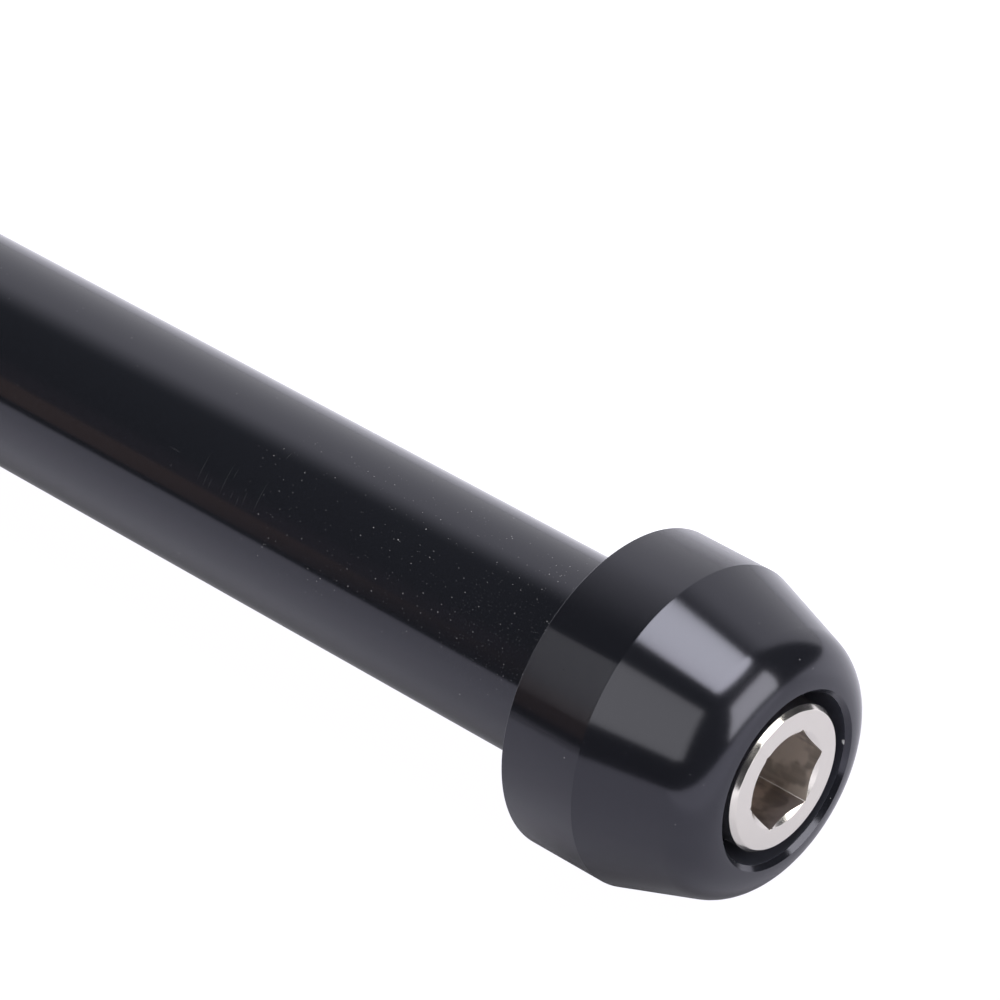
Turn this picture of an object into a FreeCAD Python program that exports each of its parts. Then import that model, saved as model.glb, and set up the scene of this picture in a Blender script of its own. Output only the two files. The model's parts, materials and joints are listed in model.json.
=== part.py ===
import FreeCAD, Part
import os

import Sketcher

# Bicycle thru axle, 12 mm, with a conical head and a bright insert that holds the key socket.
# Each piece is drawn about its own Z axis, from the tip face at height 0 to the nose of the head.
# The whole axle then lies down along +X as it comes to rest: on the rim of its head and the first
# thread, with the origin on the ground below the middle of its length.
# Sizes are in millimetres and degrees.

# Driving dimensions: alias, value, meaning
DIMENSIONS = (
    ("shaft_diameter", 12.0, "plain shaft, which is also the crest of the thread"),
    ("shaft_length", 120.0, "from the tip face to the shoulder under the head"),
    ("bore_diameter", 6.5, "lightening bore, from the tip to the insert"),
    ("bore_lead_in", 0.4, "chamfer where the bore opens in the tip face"),
    ("tip_chamfer", 1.0, "chamfer that starts the thread"),
    ("thread_pitch", 1.5, "metric thread, single start, right hand"),
    ("thread_length", 16.0, "from the tip face to the end of the relief groove"),
    ("relief_width", 2.5, "groove in which the thread ends"),
    ("head_diameter", 19.0, "cylindrical band at the back of the head"),
    ("head_length", 11.9, "from the shoulder to the nose"),
    ("band_length", 5.0, "straight part of the head, before the cone"),
    ("cone_half_angle", 18.0, "slope of the cone to the axis"),
    ("nose_radius", 3.0, "round between the cone and the nose"),
    ("rim_break", 0.05, "broken edge round the back of the head"),
    ("recess_diameter", 10.1, "counterbore in the nose, round the insert"),
    ("recess_depth", 3.0, "from the nose to the floor of the counterbore"),
    ("recess_chamfer", 0.27, "chamfer at the mouth of the counterbore"),
    ("insert_diameter", 8.7, "outside of the insert"),
    ("insert_length", 10.0, "from the back of the insert to its face"),
    ("insert_setback", 0.1, "how far the insert's face lies below the nose"),
    ("insert_chamfer", 0.27, "chamfer round the face of the insert"),
    ("bond_gap", 0.02, "radial gap that the retaining compound fills"),
    ("socket_flats", 5.1, "hex socket for a 5 mm key, across its flats"),
    ("socket_depth", 6.0, "full depth of the hex, before the drill point"),
    ("socket_mouth", 5.7, "diameter of the countersink round the hex"),
    ("mouth_slope", 30.0, "slope of the countersink below the face"),
    ("drill_point", 118.0, "included angle of the drilled end of the socket"),
    ("socket_turn", 13.0, "turn of a corner of the hex about the axis, from the start of the thread"),
    ("rest_turn", 20.0, "how far the axle has rolled about its own axis, as it lies"),
)

NOSE = "(dims.shaft_length + dims.head_length)"
FACE = "(dims.shaft_length + dims.head_length - dims.insert_setback)"
SEAT_FLOOR = "(dims.shaft_length + dims.head_length - dims.insert_setback - dims.insert_length)"

# How far the axis rises towards the head, because the rim of the head is larger than the thread.
REST_TILT = (
    "atan((dims.head_diameter - dims.shaft_diameter) / 2"
    " / (dims.shaft_length + dims.rim_break - dims.tip_chamfer))"
)


def make_sheet(doc):
    """Fill the spreadsheet of driving dimensions, one row each."""
    sheet = doc.addObject("Spreadsheet::Sheet", "dims")
    for row, (alias, value, meaning) in enumerate(DIMENSIONS, start=1):
        sheet.set(f"A{row}", meaning)
        sheet.set(f"B{row}", str(value))
        sheet.setAlias(f"B{row}", alias)
    doc.recompute()
    return sheet


def origin_part(body, role):
    """The plane or axis of the body's own origin that has this role."""
    return next(part for part in body.Origin.OriginFeatures if part.Role == role)


def make_sketch(body, name, plane):
    """An empty sketch on one of the body's origin planes."""
    sketch = body.newObject("Sketcher::SketchObject", name)
    sketch.AttachmentSupport = [(origin_part(body, plane), "")]
    sketch.MapMode = "FlatFace"
    return sketch


def bind(sketch, kind, name, expression, *where):
    """Add one dimension to a sketch and drive it by an expression of the sheet."""
    value = sketch.evalExpression(expression)
    index = sketch.addConstraint(Sketcher.Constraint(kind, *where, value))
    sketch.renameConstraint(index, name)
    sketch.setExpression(f"Constraints.{name}", expression)


def half_section(body, name, corners):
    """A closed outline of straight lines, drawn as radius and height, to be turned about the axis.

    Each corner is its name, its radius and its height. None puts the corner on the axis or on the tip face.
    """
    sketch = make_sketch(body, name, "XZ_Plane")
    points = []
    for _, radius, height in corners:
        x = 0.0 if radius is None else sketch.evalExpression(radius)
        y = 0.0 if height is None else sketch.evalExpression(height)
        points.append(FreeCAD.Vector(x, y, 0))
    count = len(points)
    for i in range(count):
        sketch.addGeometry(Part.LineSegment(points[i], points[(i + 1) % count]))
    for i in range(count):
        sketch.addConstraint(Sketcher.Constraint("Coincident", i, 2, (i + 1) % count, 1))
    for i, (corner, radius, height) in enumerate(corners):
        if radius is None:
            sketch.addConstraint(Sketcher.Constraint("PointOnObject", i, 1, -2))
        else:
            bind(sketch, "DistanceX", corner + "_radius", radius, -1, 1, i, 1)
        if height is None:
            sketch.addConstraint(Sketcher.Constraint("PointOnObject", i, 1, -1))
        else:
            bind(sketch, "DistanceY", corner + "_height", height, -1, 1, i, 1)
    return sketch


def turn(body, kind, name, sketch):
    """Turn a half section about the body's axis, to add material (Revolution) or cut it (Groove)."""
    feature = body.newObject("PartDesign::" + kind, name)
    feature.Profile = sketch
    feature.ReferenceAxis = (origin_part(body, "Z_Axis"), [""])
    feature.Angle = 360.0
    body.Document.recompute()
    return feature


def ring_edge(feature, radius, height):
    """The name of the feature's circular edge round the axis at this radius and height."""
    for number, edge in enumerate(feature.Shape.Edges, start=1):
        curve = edge.Curve
        if not isinstance(curve, Part.Circle):
            continue
        on_axis = abs(curve.Center.x) + abs(curve.Center.y) < 1e-4
        if on_axis and abs(curve.Radius - radius) < 1e-4 and abs(curve.Center.z - height) < 1e-4:
            return f"Edge{number}"
    raise RuntimeError(f"{feature.Label} has no ring edge at radius {radius}, height {height}")


def dress_edge(body, kind, base, radius, height, size):
    """Round (Fillet) or bevel (Chamfer) one ring edge of the base feature, by a named size of the sheet."""
    edge = ring_edge(base, body.evalExpression(radius), body.evalExpression(height))
    feature = body.newObject("PartDesign::" + kind, size)
    feature.Base = (base, [edge])
    feature.setExpression("Radius" if kind == "Fillet" else "Size", "dims." + size)
    body.Document.recompute()
    return feature


def cut_thread(body, crest_radius):
    """The relief groove, then the right-hand thread that runs into it from the tip.

    The profile is the metric one: flanks 30 degrees to each side, a depth of 17/24 of the sharp
    triangle's height, and a flat of a sixth of the pitch at the root.
    """
    depth = "17 / 24 * cos(30) * dims.thread_pitch"
    root_radius = f"{crest_radius} - {depth}"
    relief_start = "dims.thread_length - dims.relief_width"
    relief = half_section(body, "relief_section", (
        ("relief_start_root", root_radius, relief_start),
        ("relief_end_root", root_radius, f"dims.thread_length - {depth}"),
        ("relief_end_crest", crest_radius, "dims.thread_length"),
        ("relief_start_crest", crest_radius, relief_start),
    ))
    turn(body, "Groove", "thread_relief", relief)

    # The cutter stands a twentieth of the pitch proud of the bar, and starts one pitch below the tip.
    proud = "dims.thread_pitch / 20"
    root_flat = "dims.thread_pitch / 6"
    flank = f"({depth} + {proud}) * tan(30)"
    cutter = half_section(body, "thread_section", (
        ("crest_low", f"{crest_radius} + {proud}", None),
        ("root_low", root_radius, flank),
        ("root_high", root_radius, f"{flank} + {root_flat}"),
        ("crest_high", f"{crest_radius} + {proud}", f"2 * {flank} + {root_flat}"),
    ))
    cutter.setExpression("AttachmentOffset.Base.y", "-dims.thread_pitch")
    thread = body.newObject("PartDesign::SubtractiveHelix", "thread")
    thread.Profile = cutter
    thread.ReferenceAxis = (origin_part(body, "Z_Axis"), [""])
    thread.Mode = "pitch-height-angle"
    thread.setExpression("Pitch", "dims.thread_pitch")
    thread.setExpression("Height", f"{relief_start} + 5 / 4 * dims.thread_pitch")
    body.Document.recompute()


def make_axle_body(doc):
    """The shaft and its conical head, turned from one bar, bored from both ends and threaded."""
    body = doc.addObject("PartDesign::Body", "axle_body")
    shaft_radius = "dims.shaft_diameter / 2"
    head_radius = "dims.head_diameter / 2"
    cone_end_radius = (
        "dims.head_diameter / 2 - (dims.head_length - dims.band_length) * tan(dims.cone_half_angle)"
    )
    turning = half_section(body, "turning_section", (
        ("tip_centre", None, None),
        ("tip_edge", shaft_radius, None),
        ("shoulder_root", shaft_radius, "dims.shaft_length"),
        ("head_rim", head_radius, "dims.shaft_length"),
        ("band_end", head_radius, "dims.shaft_length + dims.band_length"),
        ("cone_end", cone_end_radius, NOSE),
        ("nose_centre", None, NOSE),
    ))
    blank = turn(body, "Revolution", "turned_blank", turning)

    nose = dress_edge(body, "Fillet", blank, cone_end_radius, NOSE, "nose_radius")
    rim = dress_edge(body, "Chamfer", nose, head_radius, "dims.shaft_length", "rim_break")
    dress_edge(body, "Chamfer", rim, shaft_radius, "0", "tip_chamfer")

    recess_radius = "dims.recess_diameter / 2"
    seat_radius = "dims.insert_diameter / 2 + dims.bond_gap"
    recess_floor = NOSE + " - dims.recess_depth"
    counterbore = half_section(body, "counterbore_section", (
        ("seat_centre", None, SEAT_FLOOR),
        ("seat_corner", seat_radius, SEAT_FLOOR),
        ("seat_edge", seat_radius, recess_floor),
        ("recess_corner", recess_radius, recess_floor),
        ("chamfer_foot", recess_radius, NOSE + " - dims.recess_chamfer"),
        ("chamfer_top", recess_radius + " + dims.recess_chamfer", NOSE),
        ("mouth_centre", None, NOSE),
    ))
    turn(body, "Groove", "counterbore", counterbore)

    bore_radius = "dims.bore_diameter / 2"
    bore = half_section(body, "bore_section", (
        ("lead_in_centre", None, None),
        ("lead_in_edge", bore_radius + " + dims.bore_lead_in", None),
        ("bore_start", bore_radius, "dims.bore_lead_in"),
        ("bore_end", bore_radius, SEAT_FLOOR),
        ("bore_end_centre", None, SEAT_FLOOR),
    ))
    turn(body, "Groove", "lightening_bore", bore)

    cut_thread(body, shaft_radius)
    return body


def make_hexagon(body, name, height):
    """A hexagon round the axis, driven by its distance across the flats and its turn."""
    sketch = make_sketch(body, name, "XY_Plane")
    sketch.setExpression("AttachmentOffset.Base.z", height)
    sketch.setExpression("AttachmentOffset.Rotation.Angle", "dims.socket_turn")
    corner_radius = sketch.evalExpression("dims.socket_flats / 2 / cos(30)")
    axis = FreeCAD.Vector(0, 0, 1)
    first = FreeCAD.Vector(corner_radius, 0, 0)
    corners = [FreeCAD.Rotation(axis, 60 * k).multVec(first) for k in range(6)]
    for k in range(6):
        sketch.addGeometry(Part.LineSegment(corners[k], corners[(k + 1) % 6]))
    guide = sketch.addGeometry(Part.Circle(FreeCAD.Vector(), axis, corner_radius), True)
    sketch.addConstraint(Sketcher.Constraint("Coincident", guide, 3, -1, 1))
    for k in range(6):
        sketch.addConstraint(Sketcher.Constraint("Coincident", k, 2, (k + 1) % 6, 1))
        sketch.addConstraint(Sketcher.Constraint("PointOnObject", k, 1, guide))
    for k in range(1, 6):
        sketch.addConstraint(Sketcher.Constraint("Equal", 0, k))
    sketch.addConstraint(Sketcher.Constraint("PointOnObject", 0, 1, -1))
    bind(sketch, "Diameter", "corner_circle", "dims.socket_flats / cos(30)", guide)
    return sketch


def make_hex_insert(doc):
    """The steel plug in the nose, with a countersunk hex socket broached over a drilled hole."""
    body = doc.addObject("PartDesign::Body", "hex_insert")
    insert_radius = "dims.insert_diameter / 2"
    turning = half_section(body, "plug_section", (
        ("back_centre", None, SEAT_FLOOR),
        ("back_edge", insert_radius, SEAT_FLOOR),
        ("face_edge", insert_radius, FACE),
        ("face_centre", None, FACE),
    ))
    plug = turn(body, "Revolution", "turned_plug", turning)
    dress_edge(body, "Chamfer", plug, insert_radius, FACE, "insert_chamfer")

    socket = body.newObject("PartDesign::Pocket", "hex_socket")
    socket.Profile = make_hexagon(body, "socket_hexagon", FACE)
    socket.setExpression("Length", "dims.socket_depth")
    doc.recompute()

    mouth_radius = "dims.socket_mouth / 2"
    mouth = half_section(body, "mouth_section", (
        ("cone_point", None, FACE + " - dims.socket_mouth / 2 * tan(dims.mouth_slope)"),
        ("cone_mouth", mouth_radius, FACE),
        ("cone_centre", None, FACE),
    ))
    turn(body, "Groove", "socket_countersink", mouth)

    pilot_radius = "dims.socket_flats / 2"
    socket_floor = FACE + " - dims.socket_depth"
    point = half_section(body, "drill_point_section", (
        ("drill_tip", None, socket_floor + " - dims.socket_flats / 2 / tan(dims.drill_point / 2)"),
        ("drill_edge", pilot_radius, socket_floor),
        ("drill_centre", None, socket_floor),
    ))
    turn(body, "Groove", "socket_drill_point", point)
    return body


def lay_down(body):
    """Turn the piece from upright to the pose in which the axle rests on the ground."""
    half_length = "(dims.shaft_length + dims.head_length) / 2"
    back = f"-{half_length} * cos({REST_TILT})"
    lift = f"dims.shaft_diameter / 2 * cos({REST_TILT}) - dims.tip_chamfer * sin({REST_TILT})"
    turned = f"rotationy(90 deg - {REST_TILT}) * rotationz(dims.rest_turn * 1 deg)"
    body.setExpression("Placement", f"placement(vector({back}; 0; {lift}); {turned})")


def check(doc, bodies):
    """Stop with a message if any object of the document failed, or a body isn't one valid solid."""
    for item in doc.Objects:
        if "Invalid" in item.State or "Error" in item.State:
            raise RuntimeError(f"{item.Label} failed: {item.State}")
    for body in bodies:
        shape = body.Shape
        if shape.isNull() or not shape.isValid() or len(shape.Solids) != 1:
            raise RuntimeError(f"{body.Label} isn't one valid solid")
        print(f"{body.Label}: {shape.Volume:.1f} mm3")


def main():
    doc = FreeCAD.newDocument("thru_axle")
    make_sheet(doc)
    bodies = (make_axle_body(doc), make_hex_insert(doc))
    for body in bodies:
        lay_down(body)
    doc.recompute()
    check(doc, bodies)
    os.makedirs("parts", exist_ok=True)
    for body in bodies:
        body.Shape.exportStep(f"parts/{body.Label}.step")


main()
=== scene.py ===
import json
import math

import bmesh
import bpy
from bpy.props import FloatProperty, FloatVectorProperty, PointerProperty
from mathutils import Matrix, Quaternion, Vector


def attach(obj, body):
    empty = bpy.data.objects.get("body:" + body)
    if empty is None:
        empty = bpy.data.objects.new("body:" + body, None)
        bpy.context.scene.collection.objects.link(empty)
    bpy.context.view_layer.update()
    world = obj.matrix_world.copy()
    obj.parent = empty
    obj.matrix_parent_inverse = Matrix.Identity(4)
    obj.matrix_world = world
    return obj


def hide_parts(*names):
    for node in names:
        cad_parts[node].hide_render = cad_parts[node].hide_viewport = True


bl_info = {
    "name": "Bicycle Thru Axle",
    "version": (1, 0, 0),
    "blender": (4, 5, 0),
    "location": "3D View > Sidebar > Thru Axle",
    "description": "A black anodised thru axle with a bright key insert, and the table it lies on",
    "category": "Object",
}

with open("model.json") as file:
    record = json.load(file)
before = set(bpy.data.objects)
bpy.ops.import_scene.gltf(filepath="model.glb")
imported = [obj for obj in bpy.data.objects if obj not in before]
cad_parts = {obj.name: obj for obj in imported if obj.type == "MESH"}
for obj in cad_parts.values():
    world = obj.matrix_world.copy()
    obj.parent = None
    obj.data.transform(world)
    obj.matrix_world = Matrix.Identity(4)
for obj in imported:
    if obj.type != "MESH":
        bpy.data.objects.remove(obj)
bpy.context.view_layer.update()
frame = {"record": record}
MOUNTS = {mount["name"]: mount for mount in frame["record"]["mounts"]}

# Lengths are written in millimetres and turned into metres by MM
MM = 0.001

# Rings of the turned surfaces, a multiple of six so that the hex corners fall on it
RING_POINTS = 240
THREAD_POINTS = 96

# The largest turns from point to point round a small edge, on the turned surfaces and on the thread
ARC_STEP = math.radians(6)
THREAD_ARC_STEP = math.radians(20)

# The support beside a small edge, which keeps long faces flat, and the drill's drop below the hex
EDGE_SUPPORT = 0.02 * MM
EDGE_STEP = 0.001 * MM

# Edges that turn by more than this stay sharp
SHARP_ANGLE = math.radians(25)

# Heights in metres that differ by less than this are the same
SAME_LEVEL = 1e-8

# The materials of the body's faces and of the insert's, in the order in which a piece holds them
HEAD, SHAFT, BAND, RECESS, RIM = range(5)
# The insert's third material is one socket wall with painted shade and light
FACE, BROACHED, SHADED_WALL, POLISHED = range(4)

# Scratches on the shaft: height in mm, angle and half span in degrees, half width in mm
SHAFT_SCRATCHES = (
    (92.8, -134, 11, 0.045),
    (93.3, -129, 5, 0.04),
    (93.7, -128, 4, 0.04),
    (94.6, -135, 12, 0.045),
    (95.0, -139, 5, 0.035),
    (95.4, -128, 3.5, 0.04),
    (95.9, -127, 4, 0.04),
    (96.3, -130, 5, 0.045),
    (97.2, -135, 12, 0.05),
    (97.2, -162, 3.5, 0.045),
    (90.5, -135.2, 0.5, 0.55),
    (90.7, -126.7, 1, 0.08),
)

# Dusty places on the shaft: height in mm, angle in degrees, distance from the axis and radius in mm
DUST_PATCHES = (
    (99, -142, 6, 5),
    (104, -146, 6, 6),
    (109, -148, 6, 6.5),
    (115, -142, 6, 7),
)

# The haze beside the head, and the one larger speck in the recess, a speck of dust painted as bright as a
# glint, placed as the dusty places are
HAZE_PATCH = (115.5, -132, 6, 5)
WHITE_SPECK_GLINT = (131.6, 83.25, 5.05, 0.2)

# The share of the dust's cells that hold a speck, and the share that dusty places add to it
DUST_EVERYWHERE = 0.012
DUST_IN_PATCHES = 0.4

# How strongly the haze and the scratches show, from nought to one
HAZE_STRENGTH = 0.1
SCRATCH_STRENGTH = 0.04

# Depths of the turning marks, and how strongly those of the shaft stretch its reflections
HEAD_MARKS = 0.0006 * MM
SHAFT_MARKS = 0.0001 * MM
FACE_MARKS = 0.0002 * MM
EDGE_MARKS = 0.0001 * MM
SHAFT_GRAIN = 0.2

# The share of light that worn plating and stained steel keep, and the scale of streaks in X, Y and Z
WORN_PLATING = 0.45
STAINED_STEEL = 0.52
STREAK_STRETCH = (1, 1, 0.06)

# Values of the noise where a stain starts and is full, and depths where the walls' colour changes as
# painted shade and light
STAIN_EDGE = (0.42, 0.6)
NEAR_MOUTH = 0.3 * MM
FAR_IN = 3.5 * MM

# A painted highlight, the light line along a corner of the socket: angles from the corner where it starts
# and is full
CORNER_HIGHLIGHT = (0.014, 0.004)
CORNER_HIGHLIGHT_STRENGTH = 0.7

# Waves of the insert's polished edge: how many in a turn, and the shift of each
EDGE_WAVES = ((5, 1), (11, 2), (17, 0))

# Directions over the table, away from the camera and back to it
AWAY = (-0.656, 0.755, 0)
BACK = (0.656, -0.755, 0)

# The colour and the level of the table's own light, and how much of it shows in view and mirrored
TABLE_WHITE = (1.04, 1.03, 1.1, 1)
TABLE_GLOW = 0.44
TABLE_SEEN = 0.96
TABLE_MIRRORED = 0.3

# The place under the head, where a painted shadow takes away the table's own light, and how far from it
# that starts and is full
HEAD_ON_TABLE = (62 * MM, -4 * MM, 0)
HEAD_SHADE = (18 * MM, 6 * MM)

# Painted pools of light on the table, where it gives more of its own light: how much, then edges, each a
# direction and two places in mm
PAINTED_TABLE_LIGHT = (
    (1.0, ((0, 1, 0), 0, 26), (AWAY, -38, -18)),
    (1.1, ((1, 0, 0), 80, 105), (BACK, 48, 68)),
    (0.45, ((-1, 0, 0), -50, -25), ((0, 1, 0), -40, -12), ((0, -1, 0), 4, 11)),
)

# The edges beyond which the table turns dark and gives none of its own light, to the left of what the
# camera sees
DARK_TABLE_EDGES = (((-1, 0, 0), 45, 65), ((0, -1, 0), 50, 75))

# The white paper behind the axle: the normal of its top edge's plane, and its end's turn in degrees
PAPER_TOP = (-0.336, 0.781, -0.527)
PAPER_END = 8

# Where the dark room changes: azimuths in degrees, and levels from 0 at the horizon to 1 straight up
LOW_SIDE = ((-146.5, -143.5), (-118, -130))
LOW_TOP = (0.55, 0.35)
WALL_END = (-145.7, -142.7)
WALL_FOOT = (-0.06, 0.05)
WALL_TOP = (0.28, 0.235)


class AxleBodySizes(bpy.types.PropertyGroup):
    """Sizes of the shaft and head, measured along the axle from its threaded tip."""

    shaft_radius: FloatProperty(
        name="Shaft Radius", default=MOUNTS["shaft"]["dims"]["r_mm"] * MM, subtype="DISTANCE",
        description="Radius of the plain shaft and of the thread's crest",
    )
    shaft_length: FloatProperty(
        name="Shaft Length", default=120 * MM, subtype="DISTANCE",
        description="From the tip face to the shoulder under the head",
    )
    bore_radius: FloatProperty(
        name="Bore Radius", default=3.25 * MM, subtype="DISTANCE",
        description="Radius of the lightening bore",
    )
    bore_lead_in: FloatProperty(
        name="Bore Lead-in", default=0.4 * MM, subtype="DISTANCE",
        description="Chamfer where the bore opens in the tip face",
    )
    tip_chamfer: FloatProperty(
        name="Tip Chamfer", default=1 * MM, subtype="DISTANCE",
        description="Chamfer that starts the thread",
    )
    thread_pitch: FloatProperty(
        name="Thread Pitch", default=1.5 * MM, subtype="DISTANCE",
        description="Distance from one crest of the thread to the next",
    )
    thread_length: FloatProperty(
        name="Thread Length", default=13.5 * MM, subtype="DISTANCE",
        description="From the tip face to the relief groove",
    )
    relief_width: FloatProperty(
        name="Relief Width", default=2.5 * MM, subtype="DISTANCE",
        description="Groove in which the thread ends",
    )
    head_radius: FloatProperty(
        name="Head Radius", default=9.5 * MM, subtype="DISTANCE",
        description="Radius of the straight band at the back of the head",
    )
    head_length: FloatProperty(
        name="Head Length", default=11.9 * MM, subtype="DISTANCE",
        description="From the shoulder to the nose",
    )
    band_length: FloatProperty(
        name="Band Length", default=5 * MM, subtype="DISTANCE",
        description="Straight part of the head, before the cone",
    )
    cone_angle: FloatProperty(
        name="Cone Angle", default=math.radians(18), subtype="ANGLE",
        description="Slope of the cone to the axis",
    )
    nose_radius: FloatProperty(
        name="Nose Radius", default=3 * MM, subtype="DISTANCE",
        description="Round between the cone and the nose",
    )
    rim_break: FloatProperty(
        name="Rim Break", default=0.05 * MM, subtype="DISTANCE",
        description="Broken edge round the back of the head",
    )
    recess_radius: FloatProperty(
        name="Recess Radius", default=5.05 * MM, subtype="DISTANCE",
        description="Radius of the counterbore in the nose",
    )
    recess_depth: FloatProperty(
        name="Recess Depth", default=3 * MM, subtype="DISTANCE",
        description="From the nose to the floor of the counterbore",
    )
    recess_chamfer: FloatProperty(
        name="Recess Chamfer", default=0.27 * MM, subtype="DISTANCE",
        description="Chamfer at the mouth of the counterbore",
    )
    edge_round: FloatProperty(
        name="Edge Round", default=0.05 * MM, subtype="DISTANCE",
        description="How far the tumbled edges are rounded",
    )


class KeyInsertSizes(bpy.types.PropertyGroup):
    """Sizes of the bright insert that holds the key socket."""

    radius: FloatProperty(
        name="Radius", default=4.35 * MM, subtype="DISTANCE",
        description="Outside radius of the insert",
    )
    length: FloatProperty(
        name="Length", default=10 * MM, subtype="DISTANCE",
        description="From the back of the insert to its face",
    )
    setback: FloatProperty(
        name="Setback", default=0.1 * MM, subtype="DISTANCE",
        description="How far the face lies below the nose of the head",
    )
    edge_chamfer: FloatProperty(
        name="Edge Chamfer", default=0.27 * MM, subtype="DISTANCE",
        description="Polished chamfer round the face",
    )
    edge_wander: FloatProperty(
        name="Edge Wander", default=0.06 * MM, subtype="DISTANCE",
        description="How far the inner edge of the hand-polished chamfer wanders",
    )
    wander_side: FloatProperty(
        name="Wander Side", default=math.radians(-145), subtype="ANGLE",
        description="Angle of the side on which the chamfer wanders most",
    )
    bond_gap: FloatProperty(
        name="Bond Gap", default=0.02 * MM, subtype="DISTANCE",
        description="Radial gap between the insert and its seat",
    )
    socket_flats: FloatProperty(
        name="Socket Flats", default=5.1 * MM, subtype="DISTANCE",
        description="Hex socket, across its flats",
    )
    socket_depth: FloatProperty(
        name="Socket Depth", default=6 * MM, subtype="DISTANCE",
        description="Full depth of the hex",
    )
    socket_mouth: FloatProperty(
        name="Socket Mouth", default=2.85 * MM, subtype="DISTANCE",
        description="Radius of the countersink round the hex",
    )
    mouth_slope: FloatProperty(
        name="Mouth Slope", default=math.radians(30), subtype="ANGLE",
        description="Slope of the countersink below the face",
    )
    drill_slope: FloatProperty(
        name="Drill Slope", default=math.radians(59), subtype="ANGLE",
        description="Half of the drill's point angle",
    )
    socket_turn: FloatProperty(
        name="Socket Turn", default=math.radians(33), subtype="ANGLE",
        description="Turn of a corner of the hex from the line on which the head lies",
    )


class AnodiseFinish(bpy.types.PropertyGroup):
    """The black anodised finish of the axle body."""

    colour: FloatVectorProperty(
        name="Colour", default=(0.0093, 0.0098, 0.0126), subtype="COLOR",
        description="Dyed colour of the anodised layer",
    )
    shaft_colour: FloatVectorProperty(
        name="Shaft Colour", default=(0.0112, 0.0121, 0.0153), subtype="COLOR",
        description="Colour of the shaft, with the thin haze that handling left on it",
    )
    recess_colour: FloatVectorProperty(
        name="Recess Colour", default=(0.044, 0.046, 0.060), subtype="COLOR",
        description="Colour in the counterbore, where the dye took less well",
    )
    # The rim is lighter where the layer is worn, and as a painted highlight line along the back of the
    # head
    edge_colour: FloatVectorProperty(
        name="Edge Colour", default=(0.085, 0.085, 0.092), subtype="COLOR",
        description="Colour of the rim at the back of the head, where the layer is worn, lighter as a painted highlight line",
    )
    dust_colour: FloatVectorProperty(
        name="Dust Colour", default=(0.45, 0.44, 0.44), subtype="COLOR",
        description="Colour of dust specks and scratches",
    )
    # A speck of dust painted as bright as a glint
    speck_glint_colour: FloatVectorProperty(
        name="Speck Glint Colour", default=(0.95, 0.95, 0.95), subtype="COLOR",
        description="Colour of the one larger white speck, painted as bright as a glint",
    )
    refraction: FloatProperty(
        name="Refraction", default=1.575,
        description="Refractive index of the sealed anodised layer",
    )
    specular_tint: FloatVectorProperty(
        name="Specular Tint", default=(0.88, 0.875, 1.0), subtype="COLOR",
        description="Slightly blue tint of the layer's reflections",
    )
    shaft_roughness: FloatProperty(
        name="Shaft Roughness", default=0.12, subtype="FACTOR",
        description="Roughness of the ground and polished shaft",
    )
    head_roughness: FloatProperty(
        name="Head Roughness", default=0.17, subtype="FACTOR",
        description="Roughness of the turned head",
    )
    band_roughness: FloatProperty(
        name="Band Roughness", default=0.13, subtype="FACTOR",
        description="Roughness of the straight band at the back of the head",
    )
    band_feed_slope: FloatProperty(
        name="Band Feed Slope", default=math.radians(7.0), subtype="ANGLE",
        description="Slope of the ridges that a fast feed left on the band",
    )
    recess_roughness: FloatProperty(
        name="Recess Roughness", default=0.3, subtype="FACTOR",
        description="Roughness of the counterbore",
    )
    edge_roughness: FloatProperty(
        name="Edge Roughness", default=0.25, subtype="FACTOR",
        description="Roughness of the worn rim",
    )
    head_grain: FloatProperty(
        name="Head Grain", default=0.75, subtype="FACTOR",
        description="How strongly the turning marks stretch reflections along the head",
    )


class PlatingFinish(bpy.types.PropertyGroup):
    """The bright plated finish of the insert."""

    colour: FloatVectorProperty(
        name="Colour", default=(0.765, 0.73, 0.67), subtype="COLOR",
        description="Colour of the bright plating",
    )
    socket_colour: FloatVectorProperty(
        name="Socket Colour", default=(1.0, 0.92, 0.85), subtype="COLOR",
        description="Colour of the broached walls near the mouth of the socket",
    )
    # Painted shade: the broached walls are darker further into the socket
    socket_shaded_deep_colour: FloatVectorProperty(
        name="Socket Deep Colour", default=(0.66, 0.61, 0.57), subtype="COLOR",
        description="Colour of the broached walls further in, darker as painted shade",
    )
    # One socket wall has its own copy of the broached steel: painted shade near the mouth and painted
    # light further in
    shaded_wall_colour: FloatVectorProperty(
        name="Shaded Wall Colour", default=(0.57, 0.51, 0.50), subtype="COLOR",
        description="Colour of one wall near the mouth of the socket, darker as painted shade",
    )
    shaded_wall_lit_deep_colour: FloatVectorProperty(
        name="Shaded Wall Deep Colour", default=(1.0, 0.89, 0.80), subtype="COLOR",
        description="Colour of that wall further in, lighter as painted light",
    )
    # A painted highlight along a corner of the socket
    corner_highlight_colour: FloatVectorProperty(
        name="Corner Highlight Colour", default=(0.95, 0.92, 0.88), subtype="COLOR",
        description="Colour of the painted highlight along a corner of the socket",
    )
    roughness: FloatProperty(
        name="Roughness", default=0.2, subtype="FACTOR",
        description="Roughness of the ground face",
    )
    edge_roughness: FloatProperty(
        name="Edge Roughness", default=0.17, subtype="FACTOR",
        description="Roughness of the polished chamfers",
    )
    socket_roughness: FloatProperty(
        name="Socket Roughness", default=0.45, subtype="FACTOR",
        description="Roughness of the broached walls",
    )
    shaded_wall_roughness: FloatProperty(
        name="Shaded Wall Roughness", default=0.35, subtype="FACTOR",
        description="Roughness of the wall with painted shade and light",
    )


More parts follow.
